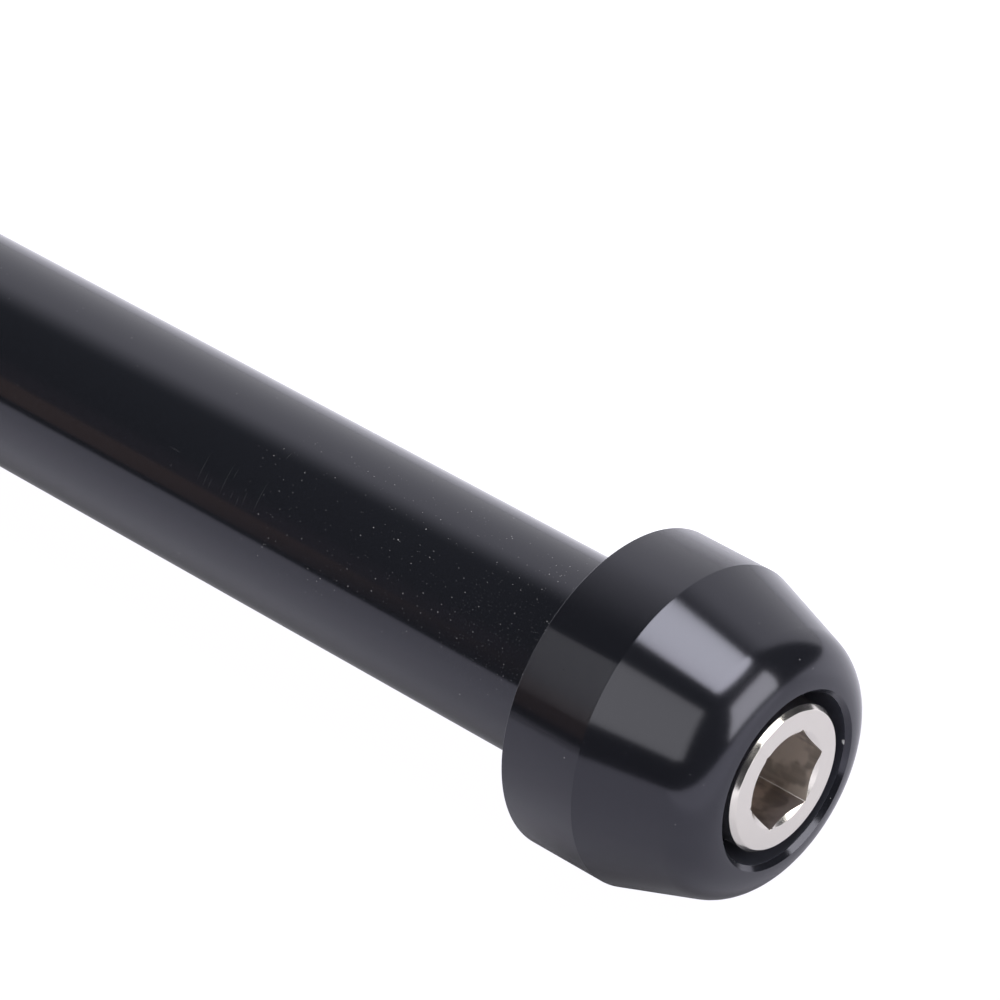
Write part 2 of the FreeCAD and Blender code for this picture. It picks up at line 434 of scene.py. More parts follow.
class StageSettings(bpy.types.PropertyGroup):
    """The table, the studio round it and the camera."""

    azimuth: FloatProperty(
        name="Azimuth", default=math.radians(42.53), subtype="ANGLE",
        description="Turn of the camera, zero looking along +Y and a quarter turn along -X",
    )
    elevation: FloatProperty(
        name="Elevation", default=math.radians(37.90), subtype="ANGLE",
        description="How steeply the camera looks down",
    )
    distance: FloatProperty(
        name="Distance", default=308.06 * MM, subtype="DISTANCE",
        description="From the camera to the point that it looks at",
    )
    aim: FloatVectorProperty(
        name="Aim", default=(45.25 * MM, 0, 17.82 * MM), subtype="XYZ",
        description="Point that the camera looks at, in the upright plane through the axle",
    )
    lens: FloatProperty(
        name="Lens", default=205.34, unit="CAMERA",
        description="Focal length on a 36 mm sensor",
    )
    table_colour: FloatVectorProperty(
        name="Table Colour", default=(0.865, 0.85, 0.93), subtype="COLOR",
        description="Colour of the white table",
    )
    table_size: FloatProperty(
        name="Table Size", default=4.0, subtype="DISTANCE",
        description="Width and depth of the white table",
    )
    sweep_colour: FloatVectorProperty(
        name="Sweep Colour", default=(0.97, 0.96, 1.02), subtype="COLOR", max=2.0,
        description="Light from the white paper behind the axle",
    )
    room_colour: FloatVectorProperty(
        name="Room Colour", default=(0.030, 0.030, 0.036), subtype="COLOR",
        description="Light from the dark room on the camera's side",
    )
    low_room_colour: FloatVectorProperty(
        name="Low Room Colour", default=(0.100, 0.078, 0.090), subtype="COLOR",
        description="Light from the lower part of the dark room",
    )
    wall_colour: FloatVectorProperty(
        name="Wall Colour", default=(0.32, 0.205, 0.156), subtype="COLOR",
        description="Light from the low brown wall behind the edge of the table",
    )


def axle_placement(body, insert):
    """Where the axle lies: local Z runs from the tip to the nose, and local X points to the ground."""
    along = Vector(MOUNTS["hex_socket"]["axis"]).normalized()
    face = Vector(MOUNTS["hex_socket"]["pos_m"])
    tip = face - along * (body.shaft_length + body.head_length - insert.setback)
    side = Vector((0, 1, 0))
    down = side.cross(along)
    place = Matrix((down, side, along)).transposed().to_4x4()
    place.translation = tip
    return place


def bend(before, corner, after, rounding, step):
    """The points of an arc in place of a corner, with a support point on each side of it."""
    back = (before - corner).normalized()
    ahead = (after - corner).normalized()
    turn = math.pi - back.angle(ahead)
    reach = rounding * math.tan(turn / 2)
    centre = corner + (back + ahead).normalized() * rounding / math.cos(turn / 2)
    first = corner + back * reach - centre
    last = corner + ahead * reach - centre
    signed_turn = math.copysign(turn, first.x * last.y - first.y * last.x)
    steps = math.ceil(turn / step)
    arc = [centre + Matrix.Rotation(signed_turn * k / steps, 2) @ first for k in range(steps + 1)]
    return [corner + back * (reach + EDGE_SUPPORT), *arc, corner + ahead * (reach + EDGE_SUPPORT)]


def outline(corners, step=ARC_STEP):
    """The points of an outline whose corners are radius, height and rounding."""
    places = [Vector(corner[:2]) for corner in corners]
    points = [places[0]]
    for k in range(1, len(corners) - 1):
        rounding = corners[k][2]
        if rounding:
            points += bend(places[k - 1], places[k], places[k + 1], rounding, step)
        else:
            points.append(places[k])
    return [*points, places[-1]]


def add_ring(mesh, radius, height, turn=0.0):
    """A ring of points round the axis. The radius and the height may be functions of the angle."""
    ring = []
    for k in range(RING_POINTS):
        angle = math.tau * k / RING_POINTS
        reach = radius(angle) if callable(radius) else radius
        level = height(angle) if callable(height) else height
        ring.append(mesh.verts.new((
            reach * math.cos(angle + turn), reach * math.sin(angle + turn), level
        )))
    return ring


def skin(mesh, rings, material):
    """Faces between each ring and the next."""
    for lower, upper in zip(rings, rings[1:]):
        for k in range(len(lower)):
            after = (k + 1) % len(lower)
            face = mesh.faces.new((lower[k], lower[after], upper[after], upper[k]))
            face.material_index = material


def cap(mesh, ring, height, material):
    """Close a ring with a point on the axis."""
    centre = mesh.verts.new((0, 0, height))
    for k in range(len(ring)):
        face = mesh.faces.new((ring[k], ring[(k + 1) % len(ring)], centre))
        face.material_index = material


def angle_of(vertex):
    """The angle round the axis, from nought to a full turn."""
    return math.atan2(vertex.co.y, vertex.co.x) % math.tau


def zip_rings(mesh, one, other):
    """Triangles between two rings whose points lie at different angles."""
    one = sorted(one, key=angle_of)
    other = sorted(other, key=angle_of)
    i = j = 0
    while i < len(one) or j < len(other):
        next_one = angle_of(one[i]) if i < len(one) else math.tau
        next_other = angle_of(other[j]) if j < len(other) else math.tau
        here, there = one[i - 1], other[j - 1]
        if next_one <= next_other:
            mesh.faces.new((here, one[i], there))
            i += 1
        else:
            mesh.faces.new((here, other[j], there))
            j += 1


def level_edge(mesh, height):
    """The points of the open edge at this height."""
    near = 1e-7
    return [v for v in mesh.verts if v.is_boundary and abs(v.co.z - height) < near]


def add_object(name, data):
    """A new object in the scene."""
    made = bpy.data.objects.new(name, data)
    bpy.context.scene.collection.objects.link(made)
    return made


def finish_mesh(name, mesh, materials, place, body):
    """Turn the built faces into an object that rides on the axle, with its sharp edges kept."""
    bmesh.ops.recalc_face_normals(mesh, faces=mesh.faces)
    data = bpy.data.meshes.new(name)
    mesh.to_mesh(data)
    mesh.free()
    data.polygons.foreach_set("use_smooth", [True] * len(data.polygons))
    data.set_sharp_from_angle(angle=SHARP_ANGLE)
    for material in materials:
        data.materials.append(material)
    piece = add_object(name, data)
    piece.matrix_world = place
    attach(piece, body)
    return piece


def thread_outline(sizes):
    """One pitch of the metric thread, from the middle of a crest: radius and height above it."""
    pitch = sizes.thread_pitch
    flank_angle = math.radians(30)
    # The metric form cuts 17 of the 24 parts of its triangle, and leaves an eighth of the pitch flat
    depth = 17 / 24 * math.cos(flank_angle) * pitch
    crest = sizes.shaft_radius
    root = crest - depth
    half_crest = pitch / 16
    flank = depth * math.tan(flank_angle)
    corners = (
        (crest, 0, 0),
        (crest, half_crest, sizes.edge_round),
        (root, half_crest + flank, 2 * sizes.edge_round),
        (root, pitch - half_crest - flank, 2 * sizes.edge_round),
        (crest, pitch - half_crest, sizes.edge_round),
        (crest, pitch, 0),
    )
    return outline(corners, THREAD_ARC_STEP), root


def subdivided(points, longest):
    """The same outline with no step longer than this."""
    finer = []
    for start, end in zip(points, points[1:]):
        pieces = math.ceil((end - start).length / longest)
        finer += [start.lerp(end, k / pieces) for k in range(pieces)]
    return finer


def add_thread(mesh, sizes):
    """The thread as one strip wound up the shaft, cut level at the tip face and at the relief."""
    profile, root = thread_outline(sizes)
    profile = subdivided(profile, longest=sizes.thread_pitch / 12)
    start = -sizes.thread_pitch
    spare_turns = 3
    turns = math.ceil(sizes.thread_length / sizes.thread_pitch) + spare_turns
    tip_radius = sizes.shaft_radius - sizes.tip_chamfer
    strip = []
    for i in range(turns * THREAD_POINTS):
        angle = math.tau * i / THREAD_POINTS
        lift = start + sizes.thread_pitch * i / THREAD_POINTS
        row = []
        for point in profile:
            height = lift + point.y
            radius = min(point.x, tip_radius + height)
            row.append(mesh.verts.new((radius * math.cos(angle), radius * math.sin(angle), height)))
        strip.append(row)
    for i in range(len(strip) - THREAD_POINTS - 1):
        here = [*strip[i], strip[i + THREAD_POINTS][0]]
        there = [*strip[i + 1], strip[i + 1 + THREAD_POINTS][0]]
        for k in range(len(profile)):
            mesh.faces.new((here[k], there[k], there[k + 1], here[k + 1]))
    for height, up in ((0, -1), (sizes.thread_length, 1)):
        bmesh.ops.bisect_plane(
            mesh,
            geom=[*mesh.verts, *mesh.edges, *mesh.faces],
            dist=SAME_LEVEL,
            plane_co=(0, 0, height),
            plane_no=(0, 0, up),
            clear_outer=True,
        )
    return root


def build_axle_body(sizes, insert, materials, place):
    """The whole axle body: thread, shaft, head, recess, seat and bore, as one closed skin."""
    mesh = bmesh.new()
    root = add_thread(mesh, sizes)
    tip_edge = level_edge(mesh, 0)
    thread_end = level_edge(mesh, sizes.thread_length)

    soft = sizes.edge_round
    shaft = sizes.shaft_radius
    head = sizes.head_radius
    shoulder = sizes.shaft_length
    nose = shoulder + sizes.head_length
    band_end = shoulder + sizes.band_length
    cone_end = head - (nose - band_end) * math.tan(sizes.cone_angle)
    relief = root - EDGE_SUPPORT
    relief_end = sizes.thread_length + sizes.relief_width
    seat = insert.radius + insert.bond_gap
    seat_floor = nose - insert.setback - insert.length
    recess_floor = nose - sizes.recess_depth
    mouth = sizes.recess_radius + sizes.recess_chamfer
    mouth_level = nose - EDGE_SUPPORT / 2
    recess_end = mouth_level - sizes.recess_chamfer
    shaft_corners = (
        (relief, sizes.thread_length, 0),
        (relief, relief_end - (shaft - relief), 4 * soft),
        (shaft, relief_end, 2 * soft),
        (shaft, shoulder, 0),
    )
    head_corners = (
        (shaft, shoulder, 0),
        (head - sizes.rim_break, shoulder, soft / 2),
        (head, shoulder + sizes.rim_break, soft / 2),
        (head, band_end, 2 * soft),
        (cone_end, nose, sizes.nose_radius),
        (seat, nose, 0),
    )
    recess_corners = (
        (mouth, mouth_level, 0),
        (sizes.recess_radius, recess_end, soft),
        (sizes.recess_radius, recess_floor, 0),
        (seat, recess_floor, 0),
        (seat, seat_floor, 0),
        (sizes.bore_radius, seat_floor, 0),
        (sizes.bore_radius, sizes.bore_lead_in, 0),
        (sizes.bore_radius + sizes.bore_lead_in, 0, 0),
    )
    shaft_rings = [add_ring(mesh, point.x, point.y) for point in outline(shaft_corners)]
    head_points = [point for point in outline(head_corners)[1:] if point.x > mouth]
    head_points += outline(recess_corners)
    head_rings = [add_ring(mesh, point.x, point.y) for point in head_points]
    skin(mesh, shaft_rings, material=SHAFT)
    skin(mesh, [shaft_rings[-1], *head_rings], material=HEAD)
    zip_rings(mesh, thread_end, shaft_rings[0])
    zip_rings(mesh, tip_edge, head_rings[-1])
    for face in mesh.faces:
        centre = face.calc_center_median()
        if centre.z < sizes.thread_length:
            face.material_index = SHAFT
        elif shoulder < centre.z < band_end and centre.xy.length > head - sizes.rim_break:
            face.material_index = BAND if centre.z > shoulder + sizes.rim_break else RIM
        elif recess_floor - soft < centre.z < recess_end and seat < centre.xy.length < mouth:
            face.material_index = RECESS
    return finish_mesh("thru_axle_body", mesh, materials, place, "root")


def build_key_insert(body_sizes, sizes, materials, place):
    """The bright insert with its countersunk hex socket and the drill's point below it."""
    mesh = bmesh.new()
    face = body_sizes.shaft_length + body_sizes.head_length - sizes.setback
    back = face - sizes.length
    turn = sizes.socket_turn
    half_flats = sizes.socket_flats / 2
    sixth = math.tau / 6
    soft = body_sizes.edge_round

    def hexagon(angle):
        return half_flats / math.cos(angle % sixth - sixth / 2)

    def mouth_edge(angle):
        return max(sizes.socket_mouth, hexagon(angle) + EDGE_SUPPORT / 2)

    def rim_level(angle):
        return face - (mouth_edge(angle) - hexagon(angle)) * math.tan(sizes.mouth_slope)

    side_corners = (
        (sizes.radius / 2, back, 0),
        (sizes.radius, back, 2 * soft),
        (sizes.radius, face - sizes.edge_chamfer, 2 * soft),
        (sizes.radius - sizes.edge_chamfer, face, 2 * soft),
        (half_flats / math.cos(sixth / 2) + 2 * EDGE_SUPPORT, face, 0),
    )
    outside = [add_ring(mesh, point.x, point.y, turn) for point in outline(side_corners)]
    for corner in (vert for ring in outside for vert in ring):
        if corner.co.z > face - soft and corner.co.xy.length > sizes.radius - 2 * sizes.edge_chamfer:
            angle = math.atan2(corner.co.y, corner.co.x)
            waves = sum(math.sin(count * angle + shift) for count, shift in EDGE_WAVES)
            share = max(0, math.cos(angle - sizes.wander_side)) * waves / len(EDGE_WAVES)
            corner.co.xy *= 1 - sizes.edge_wander * share / corner.co.xy.length
    outside.append(add_ring(mesh, mouth_edge, face, turn))
    rim = add_ring(mesh, hexagon, rim_level, turn)
    floor_level = face - sizes.socket_depth
    floor_edge = add_ring(mesh, hexagon, floor_level, turn)
    drill_edge = add_ring(mesh, half_flats, floor_level - EDGE_STEP, turn)
    skin(mesh, outside, material=FACE)
    cap(mesh, outside[0], back, material=FACE)
    skin(mesh, [outside[-1], rim], material=FACE)
    skin(mesh, [rim, floor_edge, drill_edge], material=BROACHED)
    drill_point = floor_level - half_flats / math.tan(sizes.drill_slope)
    cap(mesh, drill_edge, drill_point, material=BROACHED)
    for side in mesh.faces:
        centre = side.calc_center_median()
        angle = math.atan2(centre.y, centre.x)
        surface = side.material_index
        if surface == FACE and face - 2 * sizes.edge_chamfer < centre.z < face - SAME_LEVEL:
            side.material_index = POLISHED
        # One wall of the socket gets its own material, with painted shade and light
        elif surface == BROACHED and centre.z > floor_level and turn - sixth < angle < turn:
            side.material_index = SHADED_WALL
    return finish_mesh("key_insert", mesh, materials, place, "root")


def new_group(name, output, **inputs):
    """An empty shader group with number inputs and one number output."""
    group = bpy.data.node_groups.new(name, "ShaderNodeTree")
    for label, value in inputs.items():
        socket = group.interface.new_socket(name=label, in_out="INPUT", socket_type="NodeSocketFloat")
        socket.default_value = value
    group.interface.new_socket(name=output, in_out="OUTPUT", socket_type="NodeSocketFloat")
    source = group.nodes.new("NodeGroupInput").outputs
    result = group.nodes.new("NodeGroupOutput").inputs[output]
    return group, source, result


def set_inputs(tree, node, values):
    """Link or set a node's inputs, each given by its label or, after an underscore, its number."""
    for label, value in values.items():
        socket = node.inputs[int(label[1:])] if label[0] == "_" else node.inputs[label]
        if isinstance(value, bpy.types.NodeSocket):
            tree.links.new(value, socket)
        else:
            socket.default_value = value


def put(tree, kind, options=None, **values):
    """Add a node. The options are its own settings, and the values go to its inputs."""
    made = tree.nodes.new(kind)
    for option, value in (options or {}).items():
        setattr(made, option, value)
    set_inputs(tree, made, values)
    return made


def put_math(tree, kind, operation, values):
    """A Math or Vector Math node with its inputs in order."""
    return put(tree, kind, {"operation": operation}, **{f"_{k}": value for k, value in enumerate(values)})


def calculate(tree, operation, *values):
    """The result of a Math node."""
    return put_math(tree, "ShaderNodeMath", operation, values).outputs[0]


def product(tree, first, *others):
    """The product of several values."""
    for other in others:
        first = calculate(tree, "MULTIPLY", first, other)
    return first


def highest(tree, first, *others):
    """The highest of several values."""
    for other in others:
        first = calculate(tree, "MAXIMUM", first, other)
    return first


def vary(tree, value, start, spread):
    """The start, and as much of the spread as the value says."""
    return calculate(tree, "MULTIPLY_ADD", value, spread, start)


def measure(tree, operation, *vectors):
    """The number that a Vector Math node finds, such as a length or a distance."""
    return put_math(tree, "ShaderNodeVectorMath", operation, vectors).outputs["Value"]


def fade(tree, value, start, end):
    """Nought up to the start and one from the end, with a smooth change between."""
    options = {"interpolation_type": "SMOOTHSTEP"}
    values = {"Value": value, "From Min": start, "From Max": end}
    return put(tree, "ShaderNodeMapRange", options, **values).outputs["Result"]


def noise(tree, place, scale, detail):
    """Soft random values over the surface."""
    return put(tree, "ShaderNodeTexNoise", Vector=place, Scale=scale, Detail=detail).outputs["Fac"]


def object_place(tree):
    """The place of a point of the surface in its piece's own space."""
    return put(tree, "ShaderNodeTexCoord").outputs["Object"]


def split(tree, vector):
    """The X, Y and Z of a vector."""
    return put(tree, "ShaderNodeSeparateXYZ", Vector=vector).outputs


def join(tree, **parts):
    """A vector made from its X, Y and Z."""
    return put(tree, "ShaderNodeCombineXYZ", **parts).outputs[0]


def make_turning_marks(name):
    """Fine rings left by the lathe: a height that changes along the outline and hardly round it."""
    group, source, height = new_group(name, "Height", Spacing=0.1 * MM, Wander=0.4)
    place = object_place(group)
    parts = split(group, place)
    radius = measure(group, "LENGTH", join(group, X=parts["X"], Y=parts["Y"]))
    along = calculate(group, "SUBTRACT", parts["Z"], radius)
    drift = noise(group, place, scale=250.0, detail=1.0)
    wander = product(group, drift, source["Wander"])
    line = calculate(group, "ADD", calculate(group, "DIVIDE", along, source["Spacing"]), wander)
    rings = put(
        group, "ShaderNodeTexNoise", {"noise_dimensions": "1D"},
        W=line, Scale=1.0, Detail=3.0, Roughness=0.7,
    )
    group.links.new(rings.outputs["Fac"], height)
    return group


def make_feed_marks(name):
    """The fine ridges that a fast feed leaves: a height that rises and falls evenly along the axis."""
    group, source, height = new_group(name, "Height", Spacing=0.07 * MM)
    along = split(group, object_place(group))["Z"]
    count = calculate(group, "DIVIDE", along, source["Spacing"])
    ridge = calculate(group, "PINGPONG", count, 0.5)
    group.links.new(product(group, ridge, source["Spacing"]), height)
    return group


def make_dust_specks(name):
    """Small round specks in some of the cells. Most of them are faint, and a few are bright."""
    group, source, mask = new_group(name, "Mask", Cell=0.5 * MM, Speck=0.03 * MM, Amount=0.1)
    scale = calculate(group, "DIVIDE", 1.0, source["Cell"])
    cells = put(group, "ShaderNodeTexVoronoi", Vector=object_place(group), Scale=scale)
    picks = put(group, "ShaderNodeSeparateColor", Color=cells.outputs["Color"]).outputs
    chosen = calculate(group, "LESS_THAN", picks["Red"], source["Amount"])
    size = vary(group, picks["Green"], start=0.4, spread=0.8)
    radius = product(group, size, calculate(group, "DIVIDE", source["Speck"], source["Cell"]))
    inside = calculate(group, "LESS_THAN", cells.outputs["Distance"], radius)
    brightness = vary(group, calculate(group, "POWER", picks["Blue"], 3.0), start=0.08, spread=0.9)
    group.links.new(product(group, chosen, inside, brightness), mask)
    return group


def make_rubbed_lines(name):
    """Thin broken lines that run round the axis and lean a little."""
    group, source, mask = new_group(
        name, "Mask", Spacing=0.3 * MM, Length=2 * MM, Width=0.03, Level=0.5
    )
    parts = split(group, object_place(group))
    angle = calculate(group, "ARCTAN2", parts["Y"], parts["X"])
    # The length is measured at this radius, and the climb is for one radian
    radius, climb = 6 * MM, 0.6 * MM
    around = calculate(group, "DIVIDE", product(group, angle, radius), source["Length"])
    lean = product(group, angle, climb)
    along = calculate(group, "DIVIDE", calculate(group, "ADD", parts["Z"], lean), source["Spacing"])
    place = join(group, X=along, Y=around)
    streaks = noise(group, place, scale=1.0, detail=0.0)
    breaks = noise(group, place, scale=2.3, detail=0.0)
    middle, softness = 0.5, 0.1
    off_line = calculate(group, "ABSOLUTE", calculate(group, "SUBTRACT", streaks, middle))
    line = fade(group, off_line, start=source["Width"], end=0.0)
    full = calculate(group, "ADD", source["Level"], softness)
    unbroken = fade(group, breaks, start=source["Level"], end=full)
    group.links.new(product(group, line, unbroken), mask)
    return group


def make_scratch(name):
    """A straight scratch round the axle, strongest in its middle, given by half its span and width."""
    group, source, mask = new_group(name, "Mask", Height=0.0, Angle=0.0, Span=0.2, Width=0.04 * MM)
    parts = split(group, object_place(group))
    angle = calculate(group, "ARCTAN2", parts["Y"], parts["X"])
    off_line = calculate(group, "SUBTRACT", parts["Z"], source["Height"])
    off_middle = calculate(group, "SUBTRACT", angle, source["Angle"])
    reach = join(
        group,
        X=calculate(group, "DIVIDE", off_line, source["Width"]),
        Y=calculate(group, "DIVIDE", off_middle, source["Span"]),
    )
    group.links.new(fade(group, measure(group, "LENGTH", reach), start=1.0, end=0.2), mask)
    return group


def make_patch(name):
    """A soft round patch about a place given by its height, its angle and its distance from the axis."""
    group, source, mask = new_group(name, "Mask", Height=0.0, Angle=0.0, Out=0.0, Radius=1.0)
    centre = join(
        group,
        X=product(group, source["Out"], calculate(group, "COSINE", source["Angle"])),
        Y=product(group, source["Out"], calculate(group, "SINE", source["Angle"])),
        Z=source["Height"],
    )
    reach = measure(group, "DISTANCE", object_place(group), centre)
    share = calculate(group, "DIVIDE", reach, source["Radius"])
    group.links.new(fade(group, share, start=1.0, end=0.4), mask)
    return group


# The effects that the materials share, each a shader group that is made when it is first used
GROUP_MAKERS = {
    "turning_marks": make_turning_marks,
    "feed_marks": make_feed_marks,
    "dust_specks": make_dust_specks,
    "rubbed_lines": make_rubbed_lines,
    "scratch": make_scratch,
    "patch": make_patch,
}


def place_group(tree, name, **values):
    """Put a shared group in a material, and give its output."""
    group = bpy.data.node_groups.get(name) or GROUP_MAKERS[name](name)
    return put(tree, "ShaderNodeGroup", {"node_tree": group}, **values).outputs[0]


def new_material(name):
    """A material with its node tree and its shader."""
    material = bpy.data.materials.new(name)
    material.use_nodes = True
    return material, material.node_tree, material.node_tree.nodes["Principled BSDF"]


def mix_colour(tree, factor, first, second):
    """A colour that goes from the first to the second as the factor goes from nought to one."""
    mix = put(tree, "ShaderNodeMix", {"data_type": "RGBA"}, Factor=factor)
    sockets = [socket for socket in mix.inputs if socket.type == "RGBA"]
    for socket, colour in zip(sockets, (first, second)):
        if isinstance(colour, bpy.types.NodeSocket):
            tree.links.new(colour, socket)
        else:
            socket.default_value = (*colour, 1)
    return next(socket for socket in mix.outputs if socket.type == "RGBA")


def darkened(colour, share):
    """The colour with this share of its light."""
    return [share * value for value in colour]


def make_anodise(
    name, finish, colour, roughness, grain, mark_depth, feed_slope=0.0, scratches=(), speck=None
):
    """Black anodised aluminium with turning marks and dust, and if given, ridges, scratches, a speck
    painted as bright as a glint.
    """
    material, tree, shader = new_material(name)

    def patch(height, angle, out, radius):
        return place_group(
            tree, "patch",
            Height=height * MM, Angle=math.radians(angle), Out=out * MM, Radius=radius * MM,
        )

    def scratch(height, angle, span, width):
        return place_group(
            tree, "scratch",
            Height=height * MM, Angle=math.radians(angle), Span=math.radians(span), Width=width * MM,
        )

    dusty = highest(tree, *[patch(*place) for place in DUST_PATCHES])
    amount = vary(tree, dusty, start=DUST_EVERYWHERE, spread=DUST_IN_PATCHES)
    dust = place_group(tree, "dust_specks", Cell=0.2 * MM, Speck=0.029 * MM, Amount=amount)
    haze = place_group(tree, "dust_specks", Cell=0.12 * MM, Speck=0.03 * MM, Amount=0.8)
    wear = highest(tree, dust, product(tree, haze, patch(*HAZE_PATCH), HAZE_STRENGTH))
    if scratches:
        lines = highest(tree, *[scratch(*place) for place in scratches])
        wear = highest(tree, wear, product(tree, lines, SCRATCH_STRENGTH))
    base = mix_colour(tree, wear, colour, finish.dust_colour)
    # A speck of dust painted as bright as a glint
    if speck:
        base = mix_colour(tree, patch(*speck), base, finish.speck_glint_colour)

    marks = place_group(tree, "turning_marks", Spacing=0.11 * MM, Wander=0.5)
    uneven = vary(tree, marks, start=roughness - 0.03, spread=0.06)
    relief = product(tree, marks, mark_depth)
    if feed_slope:
        ridges = place_group(tree, "feed_marks", Spacing=0.07 * MM)
        relief = vary(tree, ridges, start=relief, spread=feed_slope)
    bump = put(tree, "ShaderNodeBump", Height=relief, Strength=1.0, Distance=1.0)
    set_inputs(tree, shader, {
        "Base Color": base,
        "Roughness": vary(tree, wear, start=uneven, spread=0.5),
        "Normal": bump.outputs["Normal"],
        "Specular Tint": (*finish.specular_tint, 1),
        "IOR": finish.refraction,
        "Anisotropic": grain,
        # A quarter turn: the marks run round the axis, so that reflections stretch along it
        "Anisotropic Rotation": 0.25,
    })
    return material


def make_plating(name, colour, roughness, mark_depth):
    """Bright plating over ground steel, with a few fine lines and specks."""
    material, tree, shader = new_material(name)
    specks = place_group(tree, "dust_specks", Cell=0.6 * MM, Speck=0.03 * MM, Amount=0.2)
    lines = place_group(
        tree, "rubbed_lines", Spacing=0.4 * MM, Length=1.5 * MM, Width=0.03, Level=0.5
    )
    cloud = noise(tree, object_place(tree), scale=900.0, detail=3.0)
    # Each kind of wear, and how strongly it shows
    strengths = ((specks, 0.5), (lines, 0.08), (cloud, 0.08))
    wear = highest(tree, *[product(tree, *pair) for pair in strengths])
    uneven = vary(tree, cloud, start=roughness - 0.05, spread=0.1)
    marks = place_group(tree, "turning_marks", Spacing=0.09 * MM, Wander=0.8)
    bump = put(tree, "ShaderNodeBump", Height=marks, Strength=1.0, Distance=mark_depth)
    set_inputs(tree, shader, {
        "Base Color": mix_colour(tree, wear, colour, darkened(colour, WORN_PLATING)),
        "Roughness": vary(tree, wear, start=uneven, spread=0.4),
        "Normal": bump.outputs["Normal"],
        "Metallic": 1.0,
    })
    return material


def make_broached(name, finish, near, deep, roughness, mouth, corner):
    """Broached steel, with fine streaks along the socket, stains, a colour that changes with depth as
    painted shade and light, and a painted highlight along one corner.
    """
    material, tree, shader = new_material(name)
    place = object_place(tree)
    stretched = put_math(tree, "ShaderNodeVectorMath", "MULTIPLY", (place, STREAK_STRETCH))
    streaks = noise(tree, stretched.outputs["Vector"], scale=3000.0, detail=3.0)
    stains = fade(tree, noise(tree, place, scale=750.0, detail=2.0), *STAIN_EDGE)
    stain_and_shade = product(tree, calculate(tree, "ADD", streaks, 0.3), stains)
    parts = split(tree, place)
    # Painted shade and light: the walls' colour changes with depth
    depth = fade(tree, parts["Z"], mouth - NEAR_MOUTH, mouth - FAR_IN)
    clean = mix_colour(tree, depth, near, deep)
    dirty = mix_colour(tree, depth, darkened(near, STAINED_STEEL), darkened(deep, STAINED_STEEL))
    base = mix_colour(tree, stain_and_shade, clean, dirty)
    # Painted highlight: a light line along one corner, where the steel is not metallic
    angle = calculate(tree, "ARCTAN2", parts["Y"], parts["X"])
    off_corner = calculate(tree, "ABSOLUTE", calculate(tree, "SUBTRACT", angle, corner))
    line = product(tree, fade(tree, off_corner, *CORNER_HIGHLIGHT), CORNER_HIGHLIGHT_STRENGTH)
    set_inputs(tree, shader, {
        "Base Color": mix_colour(tree, line, base, finish.corner_highlight_colour),
        "Roughness": vary(tree, streaks, start=roughness - 0.1, spread=0.2),
        "Metallic": calculate(tree, "SUBTRACT", 1.0, line),
    })
    return material


def make_table(settings):
    """The white table, which keeps the axle's shadow and looks white to the camera. Its own light, which
    shows in reflections, has painted pools of light and a painted shadow under the head, and the table
    turns dark beyond some edges.
    """
    mesh = bmesh.new()
    bmesh.ops.create_grid(mesh, x_segments=8, y_segments=8, size=settings.table_size / 2)
    data = bpy.data.meshes.new("table_top")
    mesh.to_mesh(data)
    mesh.free()
    table = add_object("table_top", data)
    material, tree, shader = new_material("white_table")
    tree.nodes.remove(shader)
    place = object_place(tree)

    def area(edges):
        """A part of the table with soft edges."""
        masks = [
            fade(tree, measure(tree, "DOT_PRODUCT", place, way), start * MM, end * MM)
            for way, start, end in edges
        ]
        return product(tree, *masks)

    # Painted pools of light: the table's own light is raised in these parts
    glow = TABLE_GLOW
    for gain, *edges in PAINTED_TABLE_LIGHT:
        glow = vary(tree, area(edges), start=glow, spread=gain)
    # Painted shadow: the table gives none of its own light under the head
    painted_head_shadow = fade(tree, measure(tree, "DISTANCE", place, HEAD_ON_TABLE), *HEAD_SHADE)
    glow = vary(tree, painted_head_shadow, start=glow, spread=-TABLE_GLOW)
    # Beyond these edges the table is dark and gives none of its own light
    dark_table = area(DARK_TABLE_EDGES)
    lit_table = calculate(tree, "SUBTRACT", 1.0, dark_table)
    colour = mix_colour(tree, dark_table, settings.table_colour, settings.room_colour)
    paper = put(tree, "ShaderNodeBsdfDiffuse", Color=colour).outputs[0]
    rays = put(tree, "ShaderNodeLightPath").outputs
    level = highest(tree, product(tree, glow, lit_table), rays["Is Camera Ray"])
    light = put(tree, "ShaderNodeEmission", Color=TABLE_WHITE, Strength=level).outputs[0]
    seen = product(tree, rays["Is Camera Ray"], TABLE_SEEN)
    mirrored = product(tree, rays["Is Glossy Ray"], TABLE_MIRRORED)
    share = calculate(tree, "ADD", seen, mirrored)
    mixed = put(tree, "ShaderNodeMixShader", _0=share, _1=paper, _2=light).outputs[0]
    tree.links.new(mixed, tree.nodes["Material Output"].inputs["Surface"])
    data.materials.append(material)


